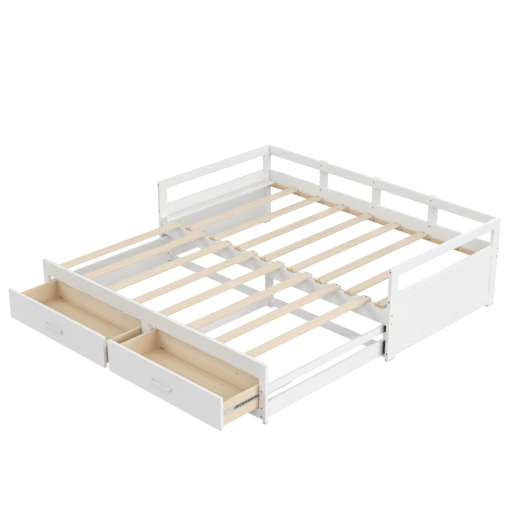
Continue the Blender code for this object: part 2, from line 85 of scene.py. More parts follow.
def middle(node):
    low, high = corners(node)
    return (low + high) / 2


def size(node):
    low, high = corners(node)
    return high - low


print("left end stile:", [round(v, 3) for v in size("left_front_stile")])

# %% [markdown]
# A finish is a node tree that ends in one Principled shader. Written out in full, each tree would be forty
# lines of adding and linking, so a small class keeps the words short: add() makes a node, and anything
# given as an input is either linked, if it is another node's socket, or set as a constant.


# %% A short way to write a finish
class Finish:
    """One material and the nodes that feed its shader."""

    def __init__(self, name, roughness=0.5, metallic=0.0):
        self.material = bpy.data.materials.new(name)
        self.material.use_nodes = True
        self.tree = self.material.node_tree
        self.shader = self.tree.nodes["Principled BSDF"]
        self.shader.inputs["Roughness"].default_value = roughness
        self.shader.inputs["Metallic"].default_value = metallic
        self.place = self.add("TexCoord").outputs["Object"]

    def feed(self, socket, value):
        if isinstance(value, bpy.types.NodeSocket):
            self.tree.links.new(value, socket)
        else:
            socket.default_value = value

    def add(self, kind, inputs=None, **settings):
        node = self.tree.nodes.new("ShaderNode" + kind)
        for key, value in settings.items():
            setattr(node, key, value)
        for key, value in (inputs or {}).items():
            self.feed(node.inputs[key], value)
        return node

    def stretched(self, axis, along, across, core=(0.0, 0.0, 0.0)):
        """Coordinates drawn out along a board's length; core becomes their zero."""
        scale = [across] * 3
        scale[axis] = along
        shift = [-c * s for c, s in zip(core, scale)]
        return self.add("Mapping", {"Vector": self.place, "Scale": scale, "Location": shift}).outputs[0]

    def noise(self, vector, scale=1.0, detail=2.0, rough=0.5):
        """Smooth noise; scale is roughly how many lumps there are in a metre."""
        made = self.add("TexNoise", {"Vector": vector, "Scale": scale, "Detail": detail, "Roughness": rough})
        return made.outputs[0]

    def span(self, value, low, high, out_low, out_high):
        """Map a value from one span to another, and hold it there."""
        return self.add("MapRange", {"Value": value, "From Min": low, "From Max": high, "To Min": out_low,
                                     "To Max": out_high}).outputs[0]

    def math(self, operation, first, second=0.0):
        return self.add("Math", {0: first, 1: second}, operation=operation).outputs[0]

    def blend(self, amount, first, second, how="MIX"):
        """Mix two colours; the inputs of the Mix node are 0 for the amount, 6 and 7 for the colours."""
        mix = self.add("Mix", {0: amount, 6: first, 7: second}, data_type="RGBA", blend_type=how)
        return mix.outputs[2]

    def bump(self, height, distance, normal=None):
        made = self.add("Bump", {"Height": height, "Distance": distance, "Strength": 1.0})
        if normal:
            self.feed(made.inputs["Normal"], normal)
        return made.outputs[0]

    def edges(self, reach):
        """1 along a board's outer arrises and 0 on its flats: rays sent inwards soon leave near an edge."""
        inside = self.add("AmbientOcclusion", {"Distance": reach}, samples=6, inside=True, only_local=True)
        return self.span(inside.outputs["AO"], 0.95, 0.45, 0.0, 1.0)

    def close(self, colour=None, roughness=None, normal=None):
        for name, value in (("Base Color", colour), ("Roughness", roughness), ("Normal", normal)):
            if value is not None:
                self.feed(self.shader.inputs[name], value)
        return self.material


def repaint(name, material):
    nodes[name].material_slots[0].material = material


X, Y, Z = 0, 1, 2
print("finish kit ready")

# %% [markdown]
# ## White paint
# Factory paint on pine is sprayed in two coats and sanded between them. It is not one flat white: the coat is
# a little thicker in some places, the grain below still shows as faint long ridges, the surface has the fine
# orange peel of a spray gun, and the paint pulls thin over sharp edges. An even white would look like
# plastic, so each of those four is a layer here. The grain needs to follow the board, which is why the
# finish is made once for each direction that a board can run.


# %% White paint over wood
PAINT = (0.815, 0.815, 0.808, 1.0)
PAINT_COOL = (0.795, 0.797, 0.798, 1.0)
PAINT_THIN = (0.755, 0.745, 0.725, 1.0)
PAINT_WEAR_REACH = 0.0016
PEEL_DEPTH = 0.00002


def white_paint(name, axis, show, grain_depth):
    paint = Finish(name)
    # Slow clouds, where the coat is thicker or thinner.
    cloud = paint.span(paint.noise(paint.place, 2.6, 3.0), 0.35, 0.65, 0.0, 1.0)
    colour = paint.blend(cloud, PAINT_COOL, PAINT)
    # Long ridges of the grain below.
    grain = paint.noise(paint.stretched(axis, 2.2, 95.0), 1.0, 3.0, 0.6)
    ridge = paint.span(grain, 0.38, 0.66, 0.0, 1.0)
    colour = paint.blend(paint.span(ridge, 0.55, 1.0, 0.0, show), colour, PAINT_THIN)
    # Arrises, rubbed thin in patches.
    patchy = paint.span(paint.noise(paint.place, 38.0), 0.45, 0.7, 0.10, 0.60)
    worn = paint.math("MULTIPLY", paint.edges(PAINT_WEAR_REACH), patchy)
    colour = paint.blend(worn, colour, PAINT_THIN)
    # The orange peel of the spray gun.
    peel = paint.noise(paint.place, 520.0, 1.0)
    normal = paint.bump(ridge, grain_depth)
    normal = paint.bump(peel, PEEL_DEPTH, normal)
    sheen = paint.span(paint.noise(paint.place, 17.0, 2.0), 0.3, 0.7, 0.36, 0.50)
    paint.shader.inputs["Specular IOR Level"].default_value = 0.42
    return paint.close(colour, sheen, normal)


RAIL_SHOW = 0.16
RAIL_GRAIN = 0.00002
SHEET_SHOW = 0.03
SHEET_GRAIN = 0.000004
rail_paint = {}
for axis in (X, Y, Z):
    rail_paint[axis] = white_paint("white_paint_grain_" + "xyz"[axis], axis, RAIL_SHOW, RAIL_GRAIN)
sheet_paint = white_paint("white_paint_smooth_sheet", X, SHEET_SHOW, SHEET_GRAIN)
print("paints:", len(rail_paint) + 1)

# %% [markdown]
# The long way of each board is simply the longest side of its box. The thin inset panels and the drawer
# fronts are smooth sheet material, where no grain shows through, so they get the paint without ridges.


# %% Paint the boards
def long_axis(node):
    sides = size(node)
    return max((X, Y, Z), key=lambda axis: sides[axis])


SMOOTH_SHEETS = ("inset_panel", "drawer_front")
painted = [row["node"] for row in frame["record"]["subparts"] if row["material_slot"] == "white_paint"]
for name in painted:
    smooth = name.endswith(SMOOTH_SHEETS)
    repaint(name, sheet_paint if smooth else rail_paint[long_axis(name)])
print("painted boards:", len(painted))

# %% [markdown]
# ## Bare pine
# A board is a slice of a tree, so its grain is best drawn in three dimensions. Rings run round an unseen
# core below the board, bent by slow noise along the length. The same rings then give long cathedral lines
# on the flat, close stripes on the edge and arcs on the sawn end, and all three meet at the corners. A flat
# picture of wood could not do that.


# %% Growth rings
RING_STRETCH = 0.045


def ring_lines(pine, axis, core, pitch):
    """0 in a ring's pale early wood, rising to 1 in its dark late wood."""
    drawn = pine.stretched(axis, RING_STRETCH, 1.0, core)
    turns = 2 * math.pi / (20 * pitch)
    bent = pine.add("TexWave", {"Vector": drawn, "Scale": turns, "Distortion": 5.5, "Detail": 2.0,
                                "Detail Scale": 0.16, "Detail Roughness": 0.55},
                    wave_type="RINGS", rings_direction="XYZ"[axis], wave_profile="SAW").outputs[1]
    return pine.span(bent, 0.45, 1.0, 0.0, 1.0)


print("rings drawn out along a board:", round(1 / RING_STRETCH), "times")

# %% [markdown]
# A pin knot is the root of a twig: a small oval, longer along the board, with a soft brown edge and a darker
# heart. It is measured as a distance from its middle, squeezed along the board, with some noise on the rim.


# %% Pin knots
def knot_marks(pine, colour, axis, knots, dark, resin):
    for centre, radius in knots:
        offset = pine.add("VectorMath", {0: pine.place, 1: centre}, operation="SUBTRACT").outputs[0]
        squeeze = [1.0 / radius] * 3
        squeeze[axis] = 0.55 / radius
        reach = pine.add("VectorMath", {0: offset, 1: squeeze}, operation="MULTIPLY").outputs[0]
        far = pine.add("VectorMath", {0: reach}, operation="LENGTH").outputs["Value"]
        wobble = pine.math("ADD", far, pine.span(pine.noise(pine.place, 260.0), 0.0, 1.0, -0.25, 0.25))
        colour = pine.blend(pine.span(wobble, 1.8, 0.7, 0.0, 0.55), colour, dark)
        colour = pine.blend(pine.span(wobble, 0.9, 0.5, 0.0, 0.85), colour, resin)
    return colour


print("knot recipe ready")

# %% [markdown]
# The rest of the wood is laid over the rings in the order in which it would be met by hand: slow patches of
# tone, fine fibres, a few short resin streaks, knots, then the darker sawn ends and the handled arrises. A
# drawer also gets painted shade: a deeper tone where its walls meet and little light reaches.


# %% The whole wood recipe
WOOD_WEAR_REACH = 0.0022
RING_DEPTH = 0.00006
FIBRE_DEPTH = 0.00005
PAINTED_CORNER_SHADE_REACH = 0.16


def wood(name, axis, core, light, dark, ring_pitch, contrast, end_shade, knots=(), corner=0.0):
    pine = Finish(name)
    late = ring_lines(pine, axis, core, ring_pitch)
    # The rings are stronger in some stretches than in others.
    slow = pine.noise(pine.stretched(axis, 1.1, 9.0, core), 1.0, 2.0)
    strength = pine.span(slow, 0.30, 0.70, 0.35 * contrast, contrast)
    colour = pine.blend(pine.math("MULTIPLY", late, strength), light, dark)
    # Slow patches of tone.
    patch = pine.span(pine.noise(pine.stretched(axis, 1.7, 24.0), 1.0, 2.0), 0.35, 0.65, 0.0, 0.22)
    colour = pine.blend(patch, colour, dark)
    # Fine fibres along the board.
    fibre = pine.noise(pine.stretched(axis, 14.0, 780.0), 1.0, 2.0, 0.65)
    colour = pine.blend(pine.span(fibre, 0.42, 0.72, 0.0, 0.30 * contrast + 0.08), colour, dark)
    # Short resin streaks.
    streak = pine.noise(pine.stretched(axis, 22.0, 420.0, (0.3, 0.7, 0.1)), 1.0, 1.0)
    resin = (dark[0] * 0.62, dark[1] * 0.52, dark[2] * 0.42, 1.0)
    colour = pine.blend(pine.span(streak, 0.70, 0.80, 0.0, 0.55), colour, resin)
    colour = knot_marks(pine, colour, axis, knots, dark, resin)
    # Painted shade: where walls close in round a point, the wood is darkened towards a deep brown, as a
    # shadow in the drawer's corners.
    if corner:
        painted_corner_shade = pine.add("AmbientOcclusion", {"Distance": PAINTED_CORNER_SHADE_REACH}, samples=8).outputs["AO"]
        deep = (dark[0] * 0.80, dark[1] * 0.66, dark[2] * 0.46, 1.0)
        colour = pine.blend(pine.span(painted_corner_shade, 0.72, 0.30, 0.0, corner), colour, deep)
    # Sawn ends drink more finish and dry darker.
    facing = pine.add("SeparateXYZ", {0: pine.add("TexCoord").outputs["Normal"]}).outputs[axis]
    sawn_end = pine.span(pine.math("ABSOLUTE", facing), 0.75, 0.9, 0.0, end_shade)
    colour = pine.blend(sawn_end, colour, (dark[0], dark[1] * 0.82, dark[2] * 0.56, 1.0))
    # Arrises darkened by handling.
    handled = pine.math("MULTIPLY", pine.edges(WOOD_WEAR_REACH), 0.30)
    colour = pine.blend(handled, colour, dark)
    normal = pine.bump(late, RING_DEPTH)
    normal = pine.bump(fibre, FIBRE_DEPTH, normal)
    dull = pine.span(fibre, 0.3, 0.7, 0.50, 0.66)
    pine.shader.inputs["Specular IOR Level"].default_value = 0.32
    return pine.close(colour, dull, normal)


print("wood recipe ready")

# %% [markdown]
# No two boards come from the same place in a tree, so each one draws its own core, knots and warmth from
# one seeded generator. The ledger was cut from redder heartwood, as bearers nobody looks at often are.


# %% Where each board was cut
WOOD_SEED = 41
PINE_LIGHT = (0.770, 0.690, 0.570, 1.0)
PINE_DARK = (0.640, 0.490, 0.330, 1.0)
HEARTWOOD_LIGHT = (0.700, 0.510, 0.320, 1.0)
HEARTWOOD_DARK = (0.560, 0.370, 0.200, 1.0)
KNOT_END_GAP = 0.1
KNOT_RADII = (0.0022, 0.0040)
pick = random.Random(WOOD_SEED)


def tree_core(node, axis, depth):
    """A point on the unseen core of the tree: below the board and a little to one side."""
    core = middle(node)
    across = X if axis != X else Y
    core[across] += pick.uniform(-0.05, 0.05)
    core[Z] -= pick.uniform(*depth)
    core[axis] += pick.uniform(-2.0, 2.0)
    return core


def pin_knot(node, axis):
    """One small knot on a board's top, somewhere along it."""
    low, high = corners(node)
    across = X if axis != X else Y
    place = middle(node)
    place[Z] = high[Z]
    place[axis] = pick.uniform(low[axis] + KNOT_END_GAP, high[axis] - KNOT_END_GAP)
    place[across] += pick.uniform(-0.4, 0.4) * (high[across] - low[across])
    return place, pick.uniform(*KNOT_RADII)


print("ledger runs along axis", long_axis("slat_ledger"), "from", corners("slat_ledger")[0][X])

# %% [markdown]
# The slats and the ledger can now be finished. Two boards in three carry no knot and the third carries one,
# which is about what a sorted pack of slats shows.

# %% Finish the pine boards
PINE_RING_PITCH = 0.0042
PINE_CONTRAST = 0.42
PINE_END_SHADE = 0.8
PINE_CORE_DEPTH = (0.03, 0.09)
WARMTH = 0.018
pine_boards = [row["node"] for row in frame["record"]["subparts"] if row["material_slot"] == "pine"]
for name in pine_boards:
    axis = long_axis(name)
    knots = [pin_knot(name, axis) for _ in range(pick.choice((0, 0, 1)))]
    warm = pick.uniform(-WARMTH, WARMTH)
    light = (PINE_LIGHT[0] + warm, PINE_LIGHT[1] + 0.9 * warm, PINE_LIGHT[2] + 0.6 * warm, 1.0)
    core = tree_core(name, axis, PINE_CORE_DEPTH)
    dark = PINE_DARK
    if name == "slat_ledger":
        light, dark = HEARTWOOD_LIGHT, HEARTWOOD_DARK
    finish = wood("pine_" + name, axis, core, light, dark,
                  PINE_RING_PITCH, PINE_CONTRAST, PINE_END_SHADE, knots)
    repaint(name, finish)
print("pine boards:", len(pine_boards))

# %% [markdown]
# ## Drawers
# The drawer boxes are clear-coated and warmer than the slats. Their bottoms are thin plywood, whose face is a
# sheet peeled from a turning log, so its rings come out as wide, slow figures. The same recipe serves for
# both: the box boards keep close rings, and the plywood gets a core far below and a coarse pitch. The box is
# one glued piece, so one grain direction, along its back, has to serve all of it.

# %% Drawer wood and plywood
BOX_LIGHT = (0.820, 0.750, 0.630, 1.0)
BOX_DARK = (0.660, 0.530, 0.370, 1.0)
PLY_LIGHT = (0.790, 0.685, 0.520, 1.0)
PLY_DARK = (0.630, 0.480, 0.300, 1.0)
BACK_WALL = 0.012
BACK_KNOT_INSET = 0.21
BACK_KNOT_DROP = 0.035
BACK_KNOT_R = 0.0045
for side in ("left", "right"):
    box_node = f"{side}_drawer_box"
    low, high = corners(box_node)
    knot_place = Vector((high[X] - BACK_KNOT_INSET, high[Y] - BACK_WALL, high[Z] - BACK_KNOT_DROP))
    back_knot = (knot_place, BACK_KNOT_R)
    core = tree_core(box_node, X, (0.10, 0.16))
    # corner sets how strong the painted shade in the drawer's corners is, for the box here and for its bottom
    # below.
    finish = wood(f"{side}_drawer_wood", X, core, BOX_LIGHT, BOX_DARK,
                  ring_pitch=0.0050, contrast=0.50, end_shade=0.25, knots=[back_knot], corner=0.65)
    repaint(box_node, finish)
    bottom_node = f"{side}_drawer_bottom"
    core = tree_core(bottom_node, X, (0.30, 0.40))
    finish = wood(f"{side}_drawer_ply", X, core, PLY_LIGHT, PLY_DARK,
                  ring_pitch=0.0085, contrast=0.45, end_shade=0.6, corner=0.75)
    repaint(bottom_node, finish)
print("drawers finished")

# %% [markdown]
# ## Steel slides
# The runners are rolled from zinc-plated strip, so their fine scratches all run along the drawer's travel.
# Stretched noise in the roughness and in a very shallow bump gives that drawn look without any picture. The
# cabinet channels have a pale grey coat with a fine grit.


# %% Slide finishes
def drawn_zinc(name):
    zinc = Finish(name, metallic=0.55)
    scratch = zinc.noise(zinc.stretched(Y, 9.0, 1500.0), 1.0, 2.0, 0.7)
    spangle = zinc.span(zinc.noise(zinc.place, 60.0, 2.0), 0.35, 0.65, 0.0, 1.0)
    colour = zinc.blend(spangle, (0.66, 0.67, 0.68, 1.0), (0.80, 0.805, 0.81, 1.0))
    colour = zinc.blend(zinc.span(scratch, 0.55, 0.75, 0.0, 0.5), colour, (0.45, 0.455, 0.465, 1.0))
    return zinc.close(colour, zinc.span(scratch, 0.3, 0.7, 0.26, 0.48), zinc.bump(scratch, 0.00002))


def coated_steel(name, colour, deep, grit, grit_depth):
    coat = Finish(name)
    cloud = coat.span(coat.noise(coat.place, 9.0, 2.0), 0.35, 0.65, 0.0, 1.0)
    speck = coat.noise(coat.place, grit, 2.0, 0.6)
    tone = coat.blend(cloud, colour, deep)
    tone = coat.blend(coat.math("MULTIPLY", coat.edges(0.0009), 0.5), tone, deep)
    return coat.close(tone, coat.span(speck, 0.3, 0.7, 0.30, 0.46), coat.bump(speck, grit_depth))


zinc = drawn_zinc("drawn_zinc")
channel_coat = coated_steel("pale_channel_coat", (0.70, 0.70, 0.70, 1.0), (0.62, 0.62, 0.625, 1.0),
                            grit=900.0, grit_depth=0.00002)
for name in nodes:
    if name.endswith("_runner"):
        repaint(name, zinc)
    if name.endswith("_channel"):
        repaint(name, channel_coat)
print("slides finished")

# %% [markdown]
# ## Handles
# Each handle is a flat strap bent into a bow. The plain model has a few facets in its bends, which would show
# as stripes in a gloss, so the handle is built again with finer bends. The strap is drawn as a path, and each
# point of the path gets a rounded cross-section that stands square to it; bridging neighbouring sections
# makes the skin. A swept curve object could do it too, but it would twist where the path turns.


# %% The strap's path
BEND_STEPS = 14
STRAP_T = 0.005
BEND_R = 0.012


def bow_path(width, reach):
    """Middle line of the strap and its outward direction, from the left foot to the right."""
    half = width / 2 - STRAP_T / 2
    line_r = BEND_R - STRAP_T / 2
    top = reach - STRAP_T / 2
    path = [(Vector((-half, 0, 0)), Vector((-1, 0, 0)))]
    for sign in (-1, 1):
        for step in range(BEND_STEPS + 1):
            turn = math.pi / 2 * step / BEND_STEPS
            angle = turn if sign < 0 else math.pi / 2 - turn
            out = Vector((sign * math.cos(angle), -math.sin(angle), 0))
            centre = Vector((sign * (half - line_r), -(top - line_r), 0))
            path.append((centre + out * line_r, out))
    path.append((Vector((half, 0, 0)), Vector((1, 0, 0))))
    return path


print("points along a 100 mm handle:", len(bow_path(0.1, 0.025)))

# %% [markdown]
# The strap's cross-section is a small rectangle with rounded edges, drawn as four quarter circles in a ring.


# %% The strap's section
SECTION_STEPS = 5
STRAP_EDGE = 0.0018


def strap_section(thick, tall):
    """A rounded rectangle, as (outward, up) points."""
    points = []
    for out_sign, up_sign, start in ((1, 1, 0), (-1, 1, 90), (-1, -1, 180), (1, -1, 270)):
        for step in range(SECTION_STEPS + 1):
            angle = math.radians(start + 90 * step / SECTION_STEPS)
            out = out_sign * (thick / 2 - STRAP_EDGE) + STRAP_EDGE * math.cos(angle)
            up = up_sign * (tall / 2 - STRAP_EDGE) + STRAP_EDGE * math.sin(angle)
            points.append((out, up))
    return points


print("points round the strap:", len(strap_section(STRAP_T, STRAP_T * 2)))

# %% [markdown]
# Every piece that is built here ends in the same way: its faces are turned outwards, it becomes an object
# with one material, and it is shaded smooth except where two faces meet at a sharp angle.


# %% From a shape to a piece
SHARP_ANGLE = 35
ROUND_ANGLE = 60


def finish_shape(shape, name, material, smooth_angle=SHARP_ANGLE):
    bmesh.ops.recalc_face_normals(shape, faces=shape.faces)
    mesh = bpy.data.meshes.new(name)
    shape.to_mesh(mesh)
    shape.free()
    mesh.materials.append(material)
    mesh.shade_smooth()
    mesh.set_sharp_from_angle(angle=math.radians(smooth_angle))
    piece = bpy.data.objects.new(name, mesh)
    bpy.context.scene.collection.objects.link(piece)
    return piece


print("faces turn sharp above", SHARP_ANGLE, "degrees")

# %% [markdown]
# The handle takes its width, reach and height from the plain one that it replaces, so it lands on the same
# holes in the drawer front and travels with the drawer.


# %% Build the bow handles
def bow_handle(name, node, material):
    low, high = corners(node)
    foot = Vector(((low[X] + high[X]) / 2, high[Y], (low[Z] + high[Z]) / 2))
    section = strap_section(STRAP_T, high[Z] - low[Z])
    shape = bmesh.new()
    rings = []
    for point, out in bow_path(high[X] - low[X], high[Y] - low[Y]):
        ring = [shape.verts.new(foot + point + out * a + Vector((0, 0, up))) for a, up in section]
        rings.append(ring)
    for first, second in zip(rings, rings[1:]):
        for k in range(len(section)):
            after = (k + 1) % len(section)
            shape.faces.new((first[k], second[k], second[after], first[after]))
    shape.faces.new(rings[0])
    shape.faces.new(rings[-1])
    return finish_shape(shape, name, material)


handle_coat = coated_steel("white_handle_coat", (0.80, 0.802, 0.80, 1.0), (0.74, 0.74, 0.742, 1.0),
                           grit=700.0, grit_depth=0.000025)
for side in ("left", "right"):
    node = f"{side}_drawer_handle"
    piece = bow_handle(f"{side}_bow_handle", node, handle_coat)
    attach(piece, f"{side}_drawer")
    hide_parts(node)
print("handles built")

# %% [markdown]
# ## Bolts and screws
# The bolts are black, with a hexagon socket, sunk less than a millimetre in the white boards, so that each
# head
# fills its socket: its black also paints the shade that the socket's hole would hold. The slats are held by
# small black cross-head screws. At arm's length they read as dark dots, but up close the recess is what makes
# them look real. Both heads are rings of points about an axis, and only the rings at the recess change shape,
# so one lathe-like function makes them: it is given the radius of every ring as a function of angle.


# %% Heads made of rings
def ring_head(shape, place, axis, rings, angles):
    """Skin rings of (radius at angle, height along axis) round a place, and close both ends."""
    turn = Vector((0, 0, 1)).rotation_difference(Vector(axis))
    loops = []
    for radius, height in rings:
        loop = []
        for angle in angles:
            reach = radius(angle)
            point = Vector((reach * math.cos(angle), reach * math.sin(angle), height))
            loop.append(shape.verts.new(Vector(place) + turn @ point))
        loops.append(loop)
    for first, second in zip(loops, loops[1:]):
        for k in range(len(angles)):
            after = (k + 1) % len(angles)
            shape.faces.new((first[k], first[after], second[after], second[k]))
    shape.faces.new(loops[0])
    shape.faces.new(loops[-1])


print("ring builder ready")

# %% [markdown]
# A ring's outline is a rule that gives the distance from the axis at any angle. A circle is constant, a
# hexagon grows towards its corners, a cross is long in four directions, and a slot is long in two.


# %% Outlines of heads and recesses
def circle(radius):
    return lambda angle: radius


def hexagon(flat):
    """Distance to a hexagon's side, flat being half its width across flats."""
    sixth = math.pi / 3
    return lambda angle: flat / math.cos((angle + sixth / 2) % sixth - sixth / 2)


def cross(arm, half_width):
    """Distance to the outline of a cross recess."""
    corner = math.atan2(half_width, arm)

    def reach(angle):
        lean = abs((angle + math.pi / 4) % (math.pi / 2) - math.pi / 4)
        return arm / math.cos(lean) if lean <= corner + 1e-6 else half_width / math.sin(lean)

    return reach


BAR_HALF_LENGTH = 0.0034
BAR_HALF_WIDTH = 0.0006


def bar_slot(angle):
    """Distance to the outline of a straight slot."""
    across = abs(math.sin(angle))
    return min(BAR_HALF_LENGTH, BAR_HALF_WIDTH / max(across, 1e-6))


print("hexagon, flat to corner:", [round(hexagon(1.0)(math.radians(a)), 3) for a in (0, 30)])

# %% [markdown]
# The rings of each head are listed from its shank up and back down into the recess, as it would be turned
# and punched. The screws need extra points at the corners of their cross, which an even division of the
# circle would miss.


# %% Bolt, screw and barrel nut
BOLT_R = 0.0048
BOLT_SOCKET = 0.0023
SCREW_R = 0.0045
SCREW_ARM = 0.0022
SCREW_SLOT = 0.00045
bolt_angles = [math.radians(a) for a in range(0, 360, 10)]
slot_corner = math.atan2(SCREW_SLOT, SCREW_ARM)
screw_angles = sorted(quarter * math.pi / 2 + lean for quarter in range(4)
                      for lean in (-math.pi / 4, -math.pi / 8, -slot_corner, 0.0, slot_corner, math.pi / 8))


def bolt_head(shape, place, axis):
    """A chamfered barrel head with a hexagon socket; place is the middle of its face."""
    rings = [(circle(BOLT_R), -0.0045), (circle(BOLT_R), -0.0005), (circle(BOLT_R - 0.0005), 0.0),
             (hexagon(BOLT_SOCKET + 0.0002), 0.0), (hexagon(BOLT_SOCKET), -0.0003),
             (hexagon(BOLT_SOCKET), -0.0030)]
    ring_head(shape, place, axis, rings, bolt_angles)


def screw_head(shape, place, axis):
    """A low domed head with a cross recess; place is on the surface under it."""
    rings = [(circle(SCREW_R * 0.6), -0.0010), (circle(SCREW_R), 0.0), (circle(SCREW_R), 0.0004),
             (circle(SCREW_R * 0.86), 0.0010), (circle(SCREW_R * 0.66), 0.00125),
             (cross(SCREW_ARM, SCREW_SLOT), 0.0013), (cross(SCREW_ARM * 0.8, SCREW_SLOT * 0.8), 0.0002)]
    ring_head(shape, place, axis, rings, screw_angles)


def slotted(shape, place, axis):
    """A barrel nut's end: flat, with one wide screwdriver slot."""
    rings = [(circle(BOLT_R), -0.0050), (circle(BOLT_R), -0.0003), (circle(BOLT_R - 0.0003), 0.0),
             (bar_slot, 0.0), (bar_slot, -0.0012)]
    ring_head(shape, place, axis, rings, bolt_angles)


print("points round a bolt:", len(bolt_angles), "and round a screw:", len(screw_angles))

# %% [markdown]
# Heads of one kind on one moving part are made as one piece, because they never move apart.


# %% Several heads as one piece
def group_of(name, head, places, body, material):
    """Several heads as one piece; places are (point, axis)."""
    shape = bmesh.new()
    for point, axis in places:
        head(shape, point, axis)
    piece = finish_shape(shape, name, material)
    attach(piece, body)
    print(name, len(places))


print("each group rides one body")

# %% [markdown]
# Black oxide is a thin brown-black film on steel. It is slightly uneven, a little oily, and the edges of a
# recess wear bright where a key has turned. The back rail's bolts are an antique bronze colour instead.


# %% Bolt finishes
def oxide(name, colour, bright, roughness, metallic):
    film = Finish(name, metallic=metallic)
    patch = film.span(film.noise(film.place, 420.0, 3.0), 0.4, 0.62, 0.0, 0.5)
    tone = film.blend(patch, colour, bright)
    tone = film.blend(film.math("MULTIPLY", film.edges(0.0005), 0.35), tone, bright)
    grain = film.noise(film.place, 2600.0, 1.0)
    rough = film.span(grain, 0.3, 0.7, roughness - 0.06, roughness + 0.08)
    film.shader.inputs["Specular IOR Level"].default_value = 0.25
    return film.close(tone, rough, film.bump(grain, 0.00001))


# On the bolts this black is partly painted shade: a flush black head stands where the socket's hole would be
# dark with shadow.
black_oxide = oxide("black_oxide", (0.010, 0.010, 0.011, 1.0), (0.05, 0.048, 0.046, 1.0), 0.48, 0.0)
bronze = oxide("antique_bronze", (0.130, 0.062, 0.024, 1.0), (0.30, 0.17, 0.08, 1.0), 0.40, 0.5)
print("bolt finishes ready")

# %% [markdown]
# Every bolt stands in a socket that the boards already have. Its place follows from the boards that it ties
# together: some run through a stile's narrow face into the end of a rail, and some go through the stile from
# outside into the long rails between the two ends.

# %% Bolts of the two ends
FORWARD = (0, -1, 0)
BACKWARD = (0, 1, 0)
# The bolt heads sit nearly flush, so their black fills each socket and paints the shade of its hole.
SUNK = 0.0007
TOP_BOLT_DROP = 0.022
MID_BOLT_RISE = 0.025
FRONT_RAIL_BOLTS = (0.018, 0.068)
BACK_RAIL_BOLTS = (0.043, 0.093)
end_bolts = []
for side, out in (("left", -1), ("right", 1)):
    stile_low, stile_high = corners(f"{side}_front_stile")
    rear_face = corners(f"{side}_rear_stile")[1][Y]
    x_mid = (stile_low[X] + stile_high[X]) / 2
    face_x = stile_high[X] if out > 0 else stile_low[X]
    levels = (stile_high[Z] - TOP_BOLT_DROP, corners(f"{side}_mid_rail")[0][Z] + MID_BOLT_RISE,
              middle(f"{side}_bottom_rail")[Z])
    for z in levels:
        end_bolts.append(((x_mid, stile_low[Y] + SUNK, z), FORWARD))
        end_bolts.append(((x_mid, rear_face - SUNK, z), BACKWARD))
    for rail, rises in (("fixed_front_rail", FRONT_RAIL_BOLTS), ("back_lower_rail", BACK_RAIL_BOLTS)):
        for rise in rises:
            place = (face_x - out * SUNK, middle(rail)[Y], corners(rail)[0][Z] + rise)
            end_bolts.append((place, (out, 0, 0)))
group_of("end_bolts", bolt_head, end_bolts, "fixed_unit", black_oxide)

# %% [markdown]
# The back's two rails are tied by three struts behind them. Each strut takes one bolt through each rail, and
# these are the bronze ones, because they face the person in the bed.

# %% Bolts of the back rails
UPPER_BACK_BOLT_DROP = 0.026
STRUTS = 3
upper_low, upper_high = corners("back_upper_rail")
lower_low = corners("back_lower_rail")[0]
back_bolts = []
for number in range(1, STRUTS + 1):
    x = middle(f"back_strut_{number}")[X]
    back_bolts.append(((x, upper_low[Y] + SUNK, upper_high[Z] - UPPER_BACK_BOLT_DROP), FORWARD))
    back_bolts.append(((x, lower_low[Y] + SUNK, lower_low[Z] + BACK_RAIL_BOLTS[1]), FORWARD))
group_of("back_rail_bolts", bolt_head, back_bolts, "fixed_unit", bronze)

# %% [markdown]
# The pull-out unit's side rails are bolted through its front panel. The lower rails are too deep for one
# bolt, so they have two, and each of those ends in a barrel nut that shows on the rail's inner face.

# %% Bolts and barrel nuts of the pull-out unit
LOWER_RAIL_BOLTS = (0.016, 0.068)
BARREL_INSET = 0.018
panel_front = corners("pullout_front_panel")[0][Y]
panel_bolts = []
barrel_nuts = []
for side, out in (("left", -1), ("right", 1)):
    upper = f"pullout_{side}_upper_rail"
    lower_low, lower_high = corners(f"pullout_{side}_lower_rail")
    x = middle(upper)[X]
    for z in [middle(upper)[Z]] + [lower_low[Z] + rise for rise in LOWER_RAIL_BOLTS]:
        panel_bolts.append(((x, panel_front + SUNK, z), FORWARD))
    inner_x = lower_low[X] if out > 0 else lower_high[X]
    for rise in LOWER_RAIL_BOLTS:
        place = (inner_x + out * SUNK, lower_high[Y] - BARREL_INSET, lower_low[Z] + rise)
        barrel_nuts.append((place, (-out, 0, 0)))
group_of("front_panel_bolts", bolt_head, panel_bolts, "pullout_unit", black_oxide)
group_of("barrel_nuts", slotted, barrel_nuts, "pullout_unit", black_oxide)

# %% [markdown]
# Each slat has one screw at an end, through its middle into the bearer below. The front ends of the pull-out
# slats sit in the panel's groove and need none. Real screws never line up perfectly, so each one is
# moved by up to a millimetre or so with a seeded random draw, which gives the same bed every time.

# %% Slat screws
UP = (0, 0, 1)
SLATS = 8
SCREW_SEED = 7
SCREW_JITTER = 0.0012
screw_pick = random.Random(SCREW_SEED)


def near(x, y, z):
    return (x + screw_pick.uniform(-1, 1) * SCREW_JITTER, y + screw_pick.uniform(-1, 1) * SCREW_JITTER, z)


fixed_slats = ["white_side_board"] + [f"fixed_slat_{i}" for i in range(1, SLATS + 1)]
pullout_slats = [f"pullout_slat_{i}" for i in range(1, SLATS + 1)]
slat_screws = []
for name in fixed_slats:
    top = corners(name)[1][Z]
    x = middle(name)[X]
    slat_screws.append((near(x, middle("fixed_front_rail")[Y], top), UP))
    slat_screws.append((near(x, middle("slat_ledger")[Y], top), UP))
group_of("fixed_slat_screws", screw_head, slat_screws, "fixed_unit", black_oxide)

